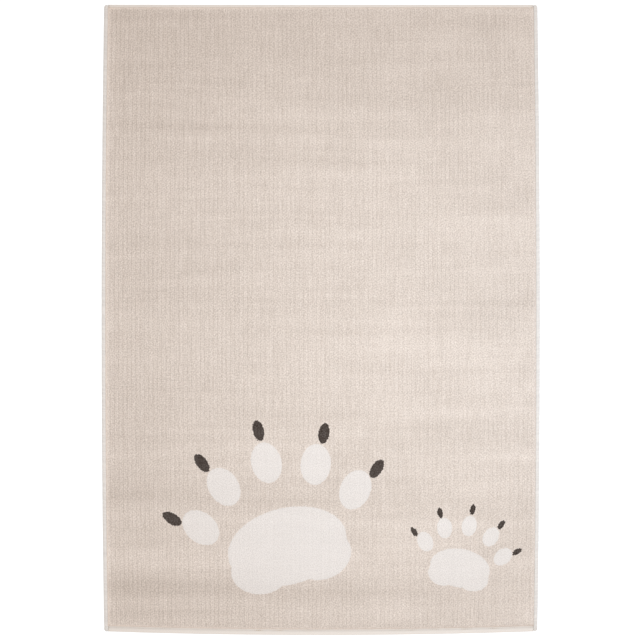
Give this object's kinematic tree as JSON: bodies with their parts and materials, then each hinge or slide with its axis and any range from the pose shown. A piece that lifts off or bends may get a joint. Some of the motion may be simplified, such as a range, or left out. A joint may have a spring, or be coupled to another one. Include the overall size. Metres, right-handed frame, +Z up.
{
  "type": "kids rug",
  "caption": "Flat rectangular kids' rug of ribbed cut pile, with overcast long sides, bound ends and a plain animal-track motif.",
  "frame": {"origin": "on the floor, at the centre of the rug's footprint", "axes": "+Z up out of the pile; +Y along the rug to its back end, away from the motif; +X to the right for someone who stands at the front end and looks along +Y"},
  "size_m": [1.33, 1.911, 0.0112],
  "materials": {
    "pile_beige": "matt ribbed cut pile",
    "overcast_cream": "matt overcast yarn",
    "binding_cream": "matt folded tape"
  },
  "bodies": {
    "root": {"woven_cloth": "pile_beige", "overcast_left": "overcast_cream", "overcast_right": "overcast_cream", "binding_front": "binding_cream", "binding_back": "binding_cream"}
  },
  "joints": []
}
